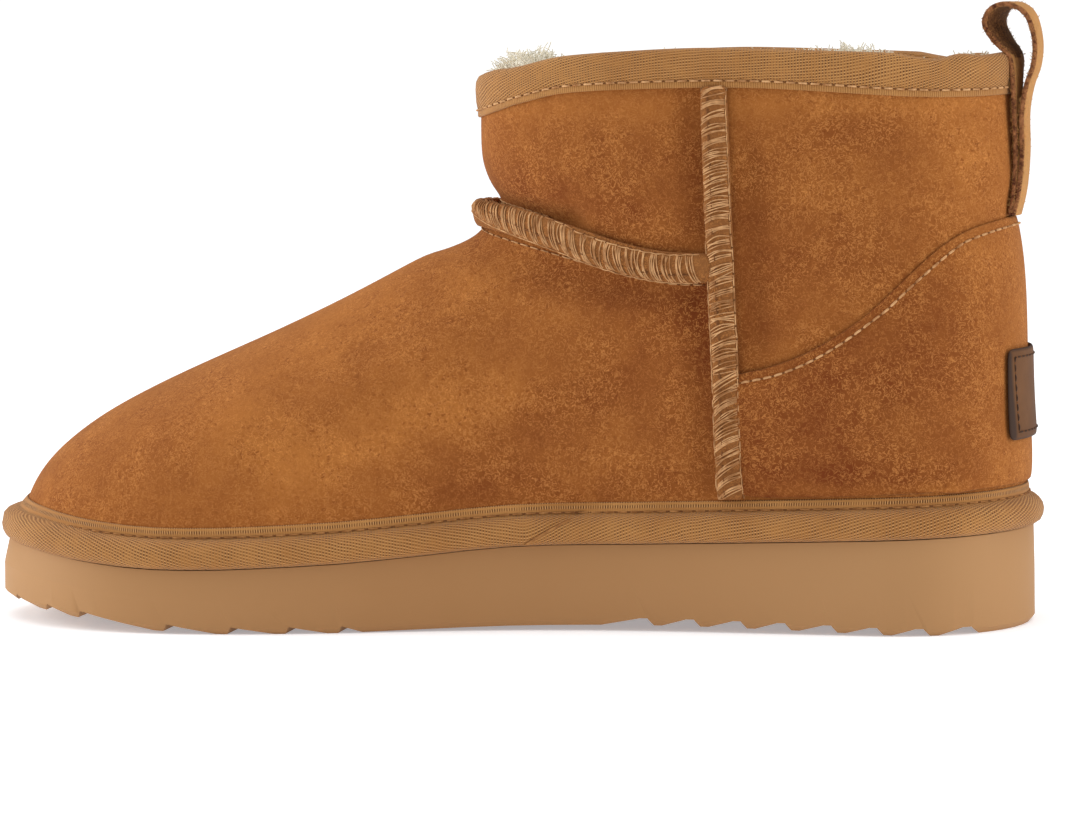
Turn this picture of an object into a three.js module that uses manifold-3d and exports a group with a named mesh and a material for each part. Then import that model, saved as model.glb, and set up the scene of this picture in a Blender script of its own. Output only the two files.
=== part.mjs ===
// Slipper boot for the right foot: a low suede ankle boot, lined with fleece, on a one-piece foam sole.
// Millimetres. The toe points to -X, the inner (medial) side is -Y, up is +Z, and the origin is on the
// floor under the middle of the sole.
import * as THREE from 'three';
import { mergeVertices } from 'three/addons/utils/BufferGeometryUtils.js';
import Module from 'manifold-3d';

const wasm = await Module();
wasm.setup();

// Driving dimensions
const SOLE_LENGTH = 269;
const HEEL_END = SOLE_LENGTH / 2;
const TOE_END = -SOLE_LENGTH / 2;
const HEEL_ROUND = 35; // length of the sole's round heel end
const TOE_ROUND = 62; // length of its round toe end
const TOE_POWER = 2.3; // above 2 the toe is blunter than an ellipse
const HEEL_POWER = 2;
const WALL = 2.2; // suede and backing
const GAP = 0.3; // between pieces that meet on a curved surface
const BASE_INSET = 2.4; // the upper stands this far inside the edge of the sole
const SHAFT_HALF = 33; // half width of the shaft
const RIM_LEVEL = 13; // last row of UPPER_LEVELS, the collar edge
const SEAM_LEVEL = 9; // row that runs along the instep seam
const LIFT_REACH = 0.42; // share of the length over which a row falls from the instep to the sides

// The sole from toe to heel: half width, sideways shift of the middle, underside and top
const SOLE_SECTIONS = [
  { x: -135, half: 43.0, centre: -5.0, floor: 6.0, top: 21.2 },
  { x: -120, half: 44.3, centre: -4.5, floor: 4.6, top: 19.8 },
  { x: -104, half: 46.2, centre: -3.4, floor: 3.1, top: 17.8 },
  { x: -85, half: 48.0, centre: -1.6, floor: 1.0, top: 16.3 },
  { x: -66, half: 49.0, centre: 0.2, floor: 0.0, top: 16.2 },
  { x: -49, half: 48.0, centre: 1.6, floor: 0.0, top: 16.8 },
  { x: -36, half: 46.0, centre: 2.5, floor: 0.0, top: 17.4 },
  { x: -21, half: 42.5, centre: 3.0, floor: 0.4, top: 18.6 },
  { x: 7, half: 36.5, centre: 2.8, floor: 1.2, top: 21.2 },
  { x: 40, half: 33.4, centre: 1.8, floor: 1.5, top: 21.9 },
  { x: 77, half: 34.2, centre: 0.9, floor: 1.0, top: 22.9 },
  { x: 112, half: 35.0, centre: 0.2, floor: 0.0, top: 24.0 },
  { x: 135, half: 35.0, centre: 0.0, floor: 0.0, top: 24.7 },
];

// The sole's wall from the underside up: share of its height, plus a rise, and how far it stands out
const SOLE_WALL = [
  { share: 0, rise: 0, out: -1.2, toe_pull: 1.0 },
  { share: 0, rise: 1.4, out: 0, toe_pull: 0 },
  { share: 0.55, rise: 0, out: 0, toe_pull: 0.1 },
  { share: 1, rise: 0, out: -0.2, toe_pull: 1.5 },
];

// Lugs are saw teeth across the sole, each with a flat land. ends and starts: the edge of each land that
// drops steeply into the next groove
const TOE_LUGS = {
  ends: [-126, -114.5, -104, -80, -63.5, -49, -36],
  last: -30,
  land: 2.6,
  depth: 1.9,
  steep: 1.2,
};
const HEEL_LUGS = {
  first: 29,
  starts: [42.5, 54.3, 66.2, 77.4, 89, 100.5, 111.8, 123],
  land: 2,
  depth: 1.9,
  steep: 1.4,
  flat: 2,
};
const LUG_CUT = { width: 120, below: -2 };
const SOLE_POINTS = 80; // around the edge of the sole

// The upper in rows from the sole to the collar. front and back: where the row crosses the middle of the
// shoe. follow: how far it keeps to the curve of the sole's top. nose and tail: length of its round ends.
// shaft: 0 is the plan of the foot, 1 the plan of the shaft. swell: extra half width. crown: rise at the
// middle of the row.
const UPPER_LEVELS = [
  {
    level: 0, front_x: -130.4, front_z: 21.2, back_x: 132.2, back_z: 25,
    follow: 1, nose: 58, tail: 33, shaft: 0, swell: 0, crown: 0,
  },
  {
    level: 1, front_x: -127.8, front_z: 31.1, back_x: 132.9, back_z: 34.9,
    follow: 1, nose: 58, tail: 33, shaft: 0, swell: 0.6, crown: 0,
  },
  {
    level: 2, front_x: -121.4, front_z: 41.4, back_x: 132.4, back_z: 45,
    follow: 0.8, nose: 61, tail: 33, shaft: 0.05, swell: 1, crown: 0,
  },
  {
    level: 3, front_x: -107.4, front_z: 52.4, back_x: 131.8, back_z: 54.5,
    follow: 0.5, nose: 70, tail: 34, shaft: 0.15, swell: 0.8, crown: 0,
  },
  {
    level: 4, front_x: -86.8, front_z: 62.8, back_x: 131.5, back_z: 63,
    follow: 0.3, nose: 82, tail: 35, shaft: 0.3, swell: 0, crown: 0,
  },
  {
    level: 5, front_x: -64.4, front_z: 72.4, back_x: 131.4, back_z: 71,
    follow: 0.15, nose: 96, tail: 36, shaft: 0.45, swell: 0, crown: 0,
  },
  {
    level: 6, front_x: -41.4, front_z: 83.0, back_x: 131.3, back_z: 78.5,
    follow: 0, nose: 106, tail: 37, shaft: 0.62, swell: 0, crown: 0,
  },
  {
    level: 7, front_x: -19.2, front_z: 94.4, back_x: 131.1, back_z: 84.5,
    follow: 0, nose: 108, tail: 38, shaft: 0.8, swell: 0, crown: 0,
  },
  {
    level: 8, front_x: -8.6, front_z: 98.6, back_x: 130.9, back_z: 88,
    follow: 0, nose: 96, tail: 39, shaft: 0.9, swell: 0, crown: 0,
  },
  {
    level: 9, front_x: -4.2, front_z: 103.4, back_x: 130.6, back_z: 91.2,
    follow: 0, nose: 76, tail: 40, shaft: 0.97, swell: 0, crown: 0,
  },
  {
    level: 10, front_x: -3.0, front_z: 108.8, back_x: 129.9, back_z: 98,
    follow: 0, nose: 62, tail: 42, shaft: 1, swell: 0, crown: 0,
  },
  {
    level: 11, front_x: -6.0, front_z: 116.5, back_x: 128.9, back_z: 108,
    follow: 0, nose: 57, tail: 43, shaft: 1, swell: 0, crown: 0.4,
  },
  {
    level: 12, front_x: -6.3, front_z: 126.5, back_x: 128.0, back_z: 122.5,
    follow: 0, nose: 55, tail: 44, shaft: 1, swell: 0, crown: 1.4,
  },
  {
    level: 13, front_x: -6.0, front_z: 137.4, back_x: 127.0, back_z: 140.2,
    follow: 0, nose: 55, tail: 44, shaft: 1, swell: 0, crown: 2.7,
  },
];
const UPPER_COLUMNS = 60;
const OUTER_ROWS_PER_LEVEL = 2;
const INNER_ROWS = 10;

const FLANGE_TOP = 10.5; // top of the bead's flange above the sole
const COLLAR_TAPE = 8.8; // height of the collar tape's outer side

// Sections of the two tapes. out is measured from the face of the upper, rise from the top of the sole,
// drop from the collar edge
const BEAD_SECTION = [
  { out: GAP, rise: 0.4 },
  { out: 3.6, rise: 0.4 },
  { out: 4.5, rise: 2.2 },
  { out: 4.6, rise: 4.6 },
  { out: 3.7, rise: 6.8 },
  { out: 1.8, rise: 7.9 },
  { out: 1.5, rise: 10.2 },
  { out: GAP, rise: FLANGE_TOP },
  { out: GAP, rise: 5.5 },
];
const COLLAR_TAPE_SECTION = [
  { out: GAP, drop: COLLAR_TAPE },
  { out: 1.2, drop: COLLAR_TAPE },
  { out: 1.4, drop: 4 },
  { out: 1.2, drop: -0.4 },
  { out: 0.2, drop: -1.7 },
  { out: -WALL - 0.2, drop: -1.7 },
  { out: -WALL - 1.2, drop: -0.4 },
  { out: -WALL - 1.3, drop: 7 },
  { out: -WALL - GAP, drop: 7 },
  { out: -WALL - GAP, drop: -GAP },
  { out: GAP, drop: -GAP },
];

const INSOLE = { rise: 0.4, thickness: 5, points: 60, clearance: 2 * GAP };

// Overlocked side seams lean a little: middle of the seam at two heights
const SIDE_SEAM = { width: 7, low: { x: 62, z: 50 }, high: { x: 59.4, z: 140 }, rows: 5, columns: 18 };
const INSTEP_SEAM = { width: 7.6, rows: 5, columns: 42 };
const SEAM_RIDGE = { height: 2.6, edge: 0.55 }; // edge: share of the height at the seam's two edges

// Top edge of the heel counter from the side seam to the back
const COUNTER_TOP = [
  { x: 66, z: 64.7 },
  { x: 77, z: 67.4 },
  { x: 89, z: 73.3 },
  { x: 101.5, z: 82.2 },
  { x: 111, z: 91.2 },
  { x: 120, z: 98.7 },
  { x: 131, z: 102.6 },
];
const COUNTER = { thickness: 1.5, edge: 0.6, level: 5, columns: 24, rows: 9 };

const PATCH = { half: 17, low: 46.8, high: 69.8, thickness: 1, columns: 10, rows: 6 };

// Middle line of the pull loop's strip, from its front end under the counter, over the top and back down
const LOOP_ROUTE = [
  { x: 130.6, z: 103.6 },
  { x: 130.4, z: 116 },
  { x: 130.5, z: 130 },
  { x: 130.7, z: 138.5 },
  { x: 129.8, z: 142.4 },
  { x: 126.2, z: 146 },
  { x: 123.9, z: 150.4 },
  { x: 125.9, z: 154.1 },
  { x: 130.2, z: 154.8 },
  { x: 134.4, z: 151.8 },
  { x: 136.2, z: 145.6 },
  { x: 135.8, z: 139.4 },
  { x: 134.0, z: 133.6 },
  { x: 133.2, z: 126 },
  { x: 132.6, z: 116 },
  { x: 132.3, z: 103.6 },
];
const LOOP = { half: 7.5, thickness: 1.75, steps: 46 };
const HEEL_BEND = 33; // radius of the back of the shaft, which the strip follows

// A table of rows becomes one smooth function of its key column
function smoothTable(rows, key) {
  const names = Object.keys(rows[0]).filter((name) => name !== key);
  const places = rows.map((row) => row[key]);
  const values = rows.flatMap((row) => names.map((name) => row[name]));
  const spline = new THREE.CubicInterpolant(places, values, names.length);
  return (at) => {
    const found = spline.evaluate(THREE.MathUtils.clamp(at, places[0], places[places.length - 1]));
    return Object.fromEntries(names.map((name, index) => [name, found[index]]));
  };
}

const soleTableAt = smoothTable(SOLE_SECTIONS, 'x');
const levelAt = smoothTable(UPPER_LEVELS, 'level');
const counterTopAt = smoothTable(COUNTER_TOP, 'x');

// The smooth curve may dip a little below its rows, so the underside is held at the floor
function soleAt(x) {
  const section = soleTableAt(x);
  return { ...section, floor: Math.max(section.floor, 0) };
}

// Width of a round end, from 0 at its tip to 1 where the straight side starts
function roundEnd(distance, length, power) {
  const share = THREE.MathUtils.clamp(distance / length, 0, 1);
  return Math.sqrt(1 - (1 - share) ** power);
}

// Angles run from the back, along the inner side (-Y) to the toe and back along the outer side
function lengthwise(angle, front, back) {
  return back - ((back - front) * (1 - Math.cos(angle))) / 2;
}

function sideOf(angle) {
  return Math.sin(angle) >= 0 ? -1 : 1;
}

function ringAngles(count, start) {
  return Array.from({ length: count }, (_, index) => ((index + start) * 2 * Math.PI) / count);
}

function steps(count, from = 0, to = 1) {
  return Array.from({ length: count + 1 }, (_, index) => from + ((to - from) * index) / count);
}

// Joins rings of points into one closed solid. Open lofts are capped across, first point to last.
function loft(rings, closed) {
  const size = rings[0].length;
  const faces = [];
  const quad = (a, b, c, d) => faces.push(a, b, c, a, c, d);
  const last = closed ? rings.length : rings.length - 1;
  for (let row = 0; row < last; row += 1) {
    const here = row * size;
    const next = ((row + 1) % rings.length) * size;
    for (let i = 0; i < size; i += 1) {
      const j = (i + 1) % size;
      quad(here + i, here + j, next + j, next + i);
    }
  }
  if (!closed) {
    const top = (rings.length - 1) * size;
    for (let i = 0; i < size / 2 - 1; i += 1) {
      const j = size - 1 - i;
      quad(i, j, j - 1, i + 1);
      quad(top + i, top + i + 1, top + j - 1, top + j);
    }
  }
  const geometry = new THREE.BufferGeometry();
  const points = rings.flat().flatMap((point) => point.toArray());
  geometry.setAttribute('position', new THREE.Float32BufferAttribute(points, 3));
  geometry.setIndex(facesOutward(points, faces));
  return geometry;
}

// Turns every face over if the solid came out inside out
function facesOutward(points, faces) {
  const corner = (index) => new THREE.Vector3().fromArray(points, index * 3);
  let volume = 0;
  for (let i = 0; i < faces.length; i += 3) {
    volume += corner(faces[i]).dot(corner(faces[i + 1]).cross(corner(faces[i + 2])));
  }
  return volume > 0 ? faces : faces.reverse();
}

function toSolid(geometry) {
  const plain = geometry.clone();
  plain.deleteAttribute('normal');
  plain.deleteAttribute('uv');
  const merged = mergeVertices(plain);
  return new wasm.Manifold(new wasm.Mesh({
    numProp: 3,
    vertProperties: new Float32Array(merged.attributes.position.array),
    triVerts: new Uint32Array(merged.index.array),
  }));
}

function toGeometry(solid) {
  const mesh = solid.getMesh();
  const geometry = new THREE.BufferGeometry();
  geometry.setAttribute('position', new THREE.BufferAttribute(mesh.vertProperties, 3));
  geometry.setIndex(new THREE.BufferAttribute(mesh.triVerts, 1));
  return geometry;
}

// Sole
function soleRing(wall) {
  const front = TOE_END - wall.out + wall.toe_pull;
  const back = HEEL_END + wall.out;
  return ringAngles(SOLE_POINTS, 0.5).map((angle) => {
    const x = lengthwise(angle, front, back);
    const section = soleAt(x);
    const ends = roundEnd(x - front, TOE_ROUND + wall.out, TOE_POWER)
      * roundEnd(back - x, HEEL_ROUND + wall.out, HEEL_POWER);
    const y = section.centre + sideOf(angle) * (section.half + wall.out) * ends;
    const z = THREE.MathUtils.lerp(section.floor, section.top, wall.share) + wall.rise;
    return new THREE.Vector3(x, y, z);
  });
}

// A prism across the sole whose outline is given in the X-Z plane
function crossPrism(outline) {
  const shape = new THREE.Shape(outline.map(([x, z]) => new THREE.Vector2(x, z)));
  const prism = new THREE.ExtrudeGeometry(shape, { depth: LUG_CUT.width, bevelEnabled: false });
  prism.rotateX(Math.PI / 2);
  prism.translate(0, LUG_CUT.width / 2, 0);
  return toSolid(prism);
}

// A groove from below the floor up to the profile
function recess(profile) {
  const start = profile[0];
  const end = profile[profile.length - 1];
  return crossPrism([[start[0], LUG_CUT.below], [end[0], LUG_CUT.below], ...profile.toReversed()]);
}

function toeRecess(end, next) {
  return recess([
    [end, soleAt(end).floor],
    [end + TOE_LUGS.steep, soleAt(end).floor + TOE_LUGS.depth],
    [next, soleAt(next).floor],
  ]);
}

function heelRecess(from, start) {
  const roof = soleAt(start).floor + HEEL_LUGS.depth;
  return recess([
    [from, soleAt(from).floor],
    [start - HEEL_LUGS.steep - HEEL_LUGS.flat, roof],
    [start - HEEL_LUGS.steep, roof],
    [start, soleAt(start).floor],
  ]);
}

function makeSole() {
  let solid = toSolid(loft(SOLE_WALL.map(soleRing), false));
  TOE_LUGS.ends.forEach((end, index) => {
    const following = TOE_LUGS.ends[index + 1];
    const next = following === undefined ? TOE_LUGS.last : following - TOE_LUGS.land;
    solid = solid.subtract(toeRecess(end, next));
  });
  HEEL_LUGS.starts.forEach((start, index) => {
    const from = index === 0 ? HEEL_LUGS.first : HEEL_LUGS.starts[index - 1] + HEEL_LUGS.land;
    solid = solid.subtract(heelRecess(from, start));
  });
  return toGeometry(solid);
}

// Upper: height of a row above a place along the shoe
function rowHeight(row, x) {
  const share = (x - row.front_x) / (row.back_x - row.front_x);
  const lift = 1 - THREE.MathUtils.smoothstep(share, 0, LIFT_REACH);
  const line = THREE.MathUtils.lerp(row.back_z, row.front_z, lift);
  const soleLine = THREE.MathUtils.lerp(soleAt(row.back_x).top, soleAt(row.front_x).top, lift);
  const crown = row.crown * Math.sin(Math.PI * share);
  return line + row.follow * (soleAt(x).top - soleLine) + crown;
}

function upperPoint(angle, level) {
  const row = levelAt(level);
  const x = lengthwise(angle, row.front_x, row.back_x);
  const sole = soleAt(x);
  const half = THREE.MathUtils.lerp(sole.half - BASE_INSET, SHAFT_HALF, row.shaft) + row.swell;
  const centre = THREE.MathUtils.lerp(sole.centre, 0, row.shaft);
  const ends = roundEnd(x - row.front_x, row.nose, TOE_POWER)
    * roundEnd(row.back_x - x, row.tail, HEEL_POWER);
  return new THREE.Vector3(x, centre + sideOf(angle) * half * ends, rowHeight(row, x));
}

function upperNormal(angle, level) {
  const turn = 0.01;
  const climb = 0.05;
  const low = Math.max(level - climb, 0);
  const high = Math.min(level + climb, RIM_LEVEL);
  const along = upperPoint(angle + turn, level).sub(upperPoint(angle - turn, level));
  const up = upperPoint(angle, high).sub(upperPoint(angle, low));
  return up.cross(along).normalize();
}

// A point on the upper's face, moved out along the face's own direction
function onUpper(angle, level, out) {
  return upperPoint(angle, level).addScaledVector(upperNormal(angle, level), out);
}

// Halves the range of rows until the row that passes through a height is found
function findLevel(heightOf, z) {
  const halvings = 24;
  let low = 0;
  let high = RIM_LEVEL;
  for (let i = 0; i < halvings; i += 1) {
    const middle = (low + high) / 2;
    if (heightOf(middle) < z) low = middle;
    else high = middle;
  }
  return (low + high) / 2;
}

function levelAtAngle(angle, z) {
  return findLevel((level) => upperPoint(angle, level).z, z);
}

function levelAtX(x, z) {
  return findLevel((level) => rowHeight(levelAt(level), x), z);
}

// The angle at which a row passes a place along the shoe, on the inner side
function angleAtX(level, x) {
  const row = levelAt(level);
  const share = THREE.MathUtils.clamp((row.back_x - x) / (row.back_x - row.front_x), 0, 1);
  return Math.acos(1 - 2 * share);
}

// The inner face. Its lowest ring is level with the outer one, so that the wall stands flat on the sole.
function insideUpper(angle, level) {
  const place = onUpper(angle, level, -WALL);
  if (level === 0) place.z = upperPoint(angle, level).z;
  return place;
}

function makeUpper() {
  const angles = ringAngles(UPPER_COLUMNS, 0);
  const outer = steps(RIM_LEVEL * OUTER_ROWS_PER_LEVEL, 0, RIM_LEVEL);
  const inner = steps(INNER_ROWS, RIM_LEVEL, 0);
  return loft([
    ...outer.map((level) => angles.map((angle) => onUpper(angle, level, 0))),
    ...inner.map((level) => angles.map((angle) => insideUpper(angle, level))),
  ], true);
}

// Footbed inside the upper
function makeInsole() {
  const ring = (rise) => ringAngles(INSOLE.points, 0.5).map((angle) => {
    const base = upperPoint(angle, 0);
    const place = onUpper(angle, levelAtAngle(angle, base.z + rise), -WALL - INSOLE.clearance);
    place.z = soleAt(place.x).top + rise;
    return place;
  });
  return loft([ring(INSOLE.rise), ring(INSOLE.thickness)], false);
}

// Tape bead around the foot of the upper, with a flat flange against the suede
function makeSoleBinding() {
  const rings = ringAngles(UPPER_COLUMNS, 0).map((angle) => BEAD_SECTION.map(({ out, rise }) => {
    const foot = upperPoint(angle, 0);
    const place = onUpper(angle, levelAtAngle(angle, foot.z + rise), out);
    place.z = foot.z + rise;
    return place;
  }));
  return loft(rings, true);
}

// Tape folded over the collar edge
function makeCollarBinding() {
  const rings = ringAngles(UPPER_COLUMNS, 0).map((angle) => COLLAR_TAPE_SECTION.map(({ out, drop }) => {
    const rim = upperPoint(angle, RIM_LEVEL);
    const place = onUpper(angle, levelAtAngle(angle, rim.z - Math.max(drop, 0)), out);
    place.z = rim.z - drop;
    return place;
  }));
  return loft(rings, true);
}

// A layer on the upper: one ring of points per column, out over the face and back under it
function layer(columns, rows, place, thicknessAt) {
  return loft(columns.map((column) => [
    ...rows.map((row) => place(column, row, GAP + thicknessAt(row))),
    ...rows.toReversed().map((row) => place(column, row, GAP)),
  ]), false);
}

// Suede counter over the back quarter, from side seam to side seam
function makeHeelCounter() {
  const place = (column, row, out) => {
    const ankle = levelAt(COUNTER.level);
    const x = lengthwise(angleAtX(COUNTER.level, COUNTER_TOP[0].x) * column, ankle.front_x, ankle.back_x);
    const low = soleAt(x).top + FLANGE_TOP + 2 * GAP;
    const z = THREE.MathUtils.lerp(low, counterTopAt(x).z, row);
    const level = levelAtX(x, z);
    const front = seamX(z) + SIDE_SEAM.width / 2 + GAP;
    return onUpper(angleAtX(level, front) * column, level, out);
  };
  const edge = (row) => COUNTER.thickness * (row === 0 || row === 1 ? COUNTER.edge : 1);
  return layer(steps(COUNTER.columns, -1, 1), steps(COUNTER.rows), place, edge);
}

function seamX(z) {
  const { low, high } = SIDE_SEAM;
  return THREE.MathUtils.mapLinear(z, low.z, high.z, low.x, high.x);
}

// Height of a seam's ridge across its width
function bulge(row) {
  return SEAM_RIDGE.height * THREE.MathUtils.lerp(SEAM_RIDGE.edge, 1, Math.sin(Math.PI * row));
}

// Overlocked seam down one side, from the collar tape to the bead; side is -1 inner, 1 outer
function makeSideSeam(side) {
  const place = (column, row, out) => {
    const middle = SIDE_SEAM.low.x;
    const low = soleAt(middle).top + FLANGE_TOP + 2 * GAP;
    const high = rowHeight(levelAt(RIM_LEVEL), middle) - COLLAR_TAPE - 2 * GAP;
    const z = THREE.MathUtils.lerp(low, high, column);
    const x = seamX(z) + (row - 0.5) * SIDE_SEAM.width;
    const level = levelAtX(x, z);
    return onUpper(-side * angleAtX(level, x), level, out);
  };
  return layer(steps(SIDE_SEAM.columns), steps(SIDE_SEAM.rows - 1), place, bulge);
}

// Overlocked seam across the instep, from one side seam over the front to the other
function makeInstepSeam() {
  const place = (column, row, out) => {
    const line = upperPoint(Math.PI + column, SEAM_LEVEL);
    const z = line.z + (row - 0.5) * INSTEP_SEAM.width;
    const level = levelAtAngle(Math.PI + column, z);
    const reach = seamX(line.z) - SIDE_SEAM.width / 2 - 2 * GAP;
    const end = Math.PI - angleAtX(level, reach);
    const share = column / (Math.PI - angleAtX(SEAM_LEVEL, reach));
    return onUpper(Math.PI + end * share, level, out + GAP);
  };
  const reach = seamX(upperPoint(2, SEAM_LEVEL).z) - SIDE_SEAM.width / 2 - 2 * GAP;
  const end = Math.PI - angleAtX(SEAM_LEVEL, reach);
  return layer(steps(INSTEP_SEAM.columns, -end, end), steps(INSTEP_SEAM.rows - 1), place, bulge);
}

// Leather patch on the back of the counter
function makeHeelPatch() {
  const under = GAP + COUNTER.thickness;
  const place = (column, row, out) => {
    const z = THREE.MathUtils.lerp(PATCH.low, PATCH.high, row);
    const level = levelAtAngle(0, z);
    const radius = levelAt(level).tail;
    const x = levelAt(level).back_x - radius * (1 - Math.cos((PATCH.half / radius) * column));
    return onUpper(Math.sign(column) * angleAtX(level, x), level, under + out);
  };
  return layer(steps(PATCH.columns, -1, 1), steps(PATCH.rows), place, () => PATCH.thickness);
}

// Suede strip folded double on the back of the shaft, its middle standing up as a loop
function makePullLoop() {
  const route = new THREE.SplineCurve(LOOP_ROUTE.map(({ x, z }) => new THREE.Vector2(x, z)));
  const across = steps(3, -1, 1);
  const section = [
    ...across.map((share) => [share, 1]),
    ...across.toReversed().map((share) => [share, -1]),
  ];
  const rings = steps(LOOP.steps).map((share) => {
    const middle = route.getPointAt(share);
    const ahead = route.getTangentAt(share);
    return section.map(([width, face]) => {
      const y = LOOP.half * width;
      const out = (LOOP.thickness / 2) * face;
      const bend = y ** 2 / (2 * HEEL_BEND);
      return new THREE.Vector3(middle.x - ahead.y * out - bend, y, middle.y + ahead.x * out);
    });
  });
  return loft(rings, false);
}

const foam = new THREE.MeshStandardMaterial({ color: '#b0865b', roughness: 0.75, metalness: 0 });
const suede = new THREE.MeshStandardMaterial({ color: '#9c5f30', roughness: 0.95, metalness: 0 });
const tape = new THREE.MeshStandardMaterial({ color: '#ad7c4d', roughness: 0.9, metalness: 0 });
const thread = new THREE.MeshStandardMaterial({ color: '#b98a5c', roughness: 0.85, metalness: 0 });
const leather = new THREE.MeshStandardMaterial({ color: '#6b4a35', roughness: 0.6, metalness: 0 });
const fleece = new THREE.MeshStandardMaterial({ color: '#e6d8bf', roughness: 1, metalness: 0 });

const boot = new THREE.Group();
function addPiece(name, geometry, material) {
  const piece = new THREE.Mesh(geometry, material);
  piece.name = name;
  boot.add(piece);
}

addPiece('sole', makeSole(), foam);
addPiece('upper', makeUpper(), suede);
addPiece('insole', makeInsole(), fleece);
addPiece('sole_binding', makeSoleBinding(), tape);
addPiece('collar_binding', makeCollarBinding(), tape);
addPiece('heel_counter', makeHeelCounter(), suede);
addPiece('side_seam_inner', makeSideSeam(-1), thread);
addPiece('side_seam_outer', makeSideSeam(1), thread);
addPiece('instep_seam', makeInstepSeam(), thread);
addPiece('heel_patch', makeHeelPatch(), leather);
addPiece('pull_loop', makePullLoop(), suede);

export default boot;
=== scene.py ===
"""A suede slipper boot for the right foot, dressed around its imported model.

Metres, +Z up. The toe points to -X, the inner side of the foot is -Y, and the boot stands on Z = 0.
"""
import math
import random

import bmesh
import bpy
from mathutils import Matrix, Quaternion, Vector, noise
from mathutils.bvhtree import BVHTree


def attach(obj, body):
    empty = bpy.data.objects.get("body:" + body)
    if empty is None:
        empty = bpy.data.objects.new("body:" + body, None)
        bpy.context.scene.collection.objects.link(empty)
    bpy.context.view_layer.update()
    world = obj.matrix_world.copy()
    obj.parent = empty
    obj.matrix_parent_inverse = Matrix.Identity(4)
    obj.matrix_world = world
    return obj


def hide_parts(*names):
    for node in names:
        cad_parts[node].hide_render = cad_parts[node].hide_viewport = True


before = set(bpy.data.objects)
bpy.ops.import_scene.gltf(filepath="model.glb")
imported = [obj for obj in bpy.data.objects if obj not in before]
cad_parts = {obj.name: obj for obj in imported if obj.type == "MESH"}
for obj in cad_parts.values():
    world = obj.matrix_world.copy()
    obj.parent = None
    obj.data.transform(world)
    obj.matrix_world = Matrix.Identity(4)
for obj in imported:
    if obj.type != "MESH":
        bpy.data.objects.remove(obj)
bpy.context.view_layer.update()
MM = 0.001

# Camera
# Seen from the inner side and a little behind square on, from just above the collar, and tilted a touch
# so that the heel stands higher in the picture.
VIEW_TURN = math.radians(12.0)
VIEW_DROP = math.radians(4.995)
VIEW_ROLL = math.radians(-0.8)
VIEW_DISTANCE = 1.1
VIEW_TARGET = Vector((0.00765, 0.0, 0.0512))
PHOTO_WIDTH = 1080
FOCAL_PIXELS = 4270

towards_camera = Vector((
    math.sin(VIEW_TURN) * math.cos(VIEW_DROP),
    -math.cos(VIEW_TURN) * math.cos(VIEW_DROP),
    math.sin(VIEW_DROP),
))
camera = bpy.data.objects.new("camera", bpy.data.cameras.new("camera"))
camera.data.sensor_width = 36
camera.data.lens = camera.data.sensor_width * FOCAL_PIXELS / PHOTO_WIDTH
camera.data.clip_start = 0.05
camera.data.clip_end = 60
camera.location = VIEW_TARGET + towards_camera * VIEW_DISTANCE
camera.rotation_mode = "QUATERNION"
camera.rotation_quaternion = (-towards_camera).to_track_quat("-Z", "Y") @ Quaternion((0, 0, 1), VIEW_ROLL)
bpy.context.scene.collection.objects.link(camera)
bpy.context.scene.camera = camera

# Studio
# A white floor that runs out to a white surround, with a large soft light beyond the toe, another beyond
# the heel and a broad one above.
FLOOR_SIZE = 24.0
FLOOR_GLOW = 0.32
SURROUND_STRENGTH = 0.37
BACKDROP_STRENGTH = 1.1
OVERHEAD_STRENGTH = 1.5
SOFT_LIGHTS = [
    {"name": "toe_side_light", "place": (-1.6, -0.25, 0.6), "size": 1.2, "power": 20},
    {"name": "heel_side_light", "place": (1.6, -0.2, 0.55), "size": 1.2, "power": 13},
]


def srgb(red, green, blue):
    """A colour as seen on a screen, 0 to 255, as the linear values that shaders take."""
    def linear(value):
        value = value / 255
        return value / 12.92 if value <= 0.04045 else ((value + 0.055) / 1.055) ** 2.4
    return (linear(red), linear(green), linear(blue), 1.0)


floor_mesh = bmesh.new()
bmesh.ops.create_grid(floor_mesh, x_segments=1, y_segments=1, size=FLOOR_SIZE / 2)
floor = bpy.data.objects.new("studio_floor", bpy.data.meshes.new("studio_floor"))
floor_mesh.to_mesh(floor.data)
floor_mesh.free()
floor_paint = bpy.data.materials.new("studio_floor")
floor_paint.use_nodes = True
floor_shader = floor_paint.node_tree.nodes["Principled BSDF"].inputs
floor_shader["Base Color"].default_value = srgb(250, 250, 250)
floor_shader["Roughness"].default_value = 0.9
floor_shader["Emission Color"].default_value = srgb(232, 243, 255)
floor_shader["Emission Strength"].default_value = FLOOR_GLOW
floor.data.materials.append(floor_paint)
bpy.context.scene.collection.objects.link(floor)

world = bpy.data.worlds.new("surround")
bpy.context.scene.world = world
world.use_nodes = True
surround = world.node_tree.nodes["Background"]
surround.inputs["Color"].default_value = (1.0, 1.0, 1.0, 1.0)
seen = world.node_tree.nodes.new("ShaderNodeLightPath")
strength = world.node_tree.nodes.new("ShaderNodeMapRange")
strength.inputs["To Min"].default_value = SURROUND_STRENGTH
strength.inputs["To Max"].default_value = BACKDROP_STRENGTH
world.node_tree.links.new(seen.outputs["Is Camera Ray"], strength.inputs["Value"])
world.node_tree.links.new(strength.outputs["Result"], surround.inputs["Strength"])
bpy.context.scene.view_settings.view_transform = "Standard"

for soft in SOFT_LIGHTS:
    lamp = bpy.data.lights.new(soft["name"], "AREA")
    lamp.shape = "SQUARE"
    lamp.size = soft["size"]
    lamp.energy = soft["power"]
    holder = bpy.data.objects.new(soft["name"], lamp)
    holder.location = soft["place"]
    holder.rotation_mode = "QUATERNION"
    holder.rotation_quaternion = (VIEW_TARGET - holder.location).to_track_quat("-Z", "Y")
    bpy.context.scene.collection.objects.link(holder)

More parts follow.
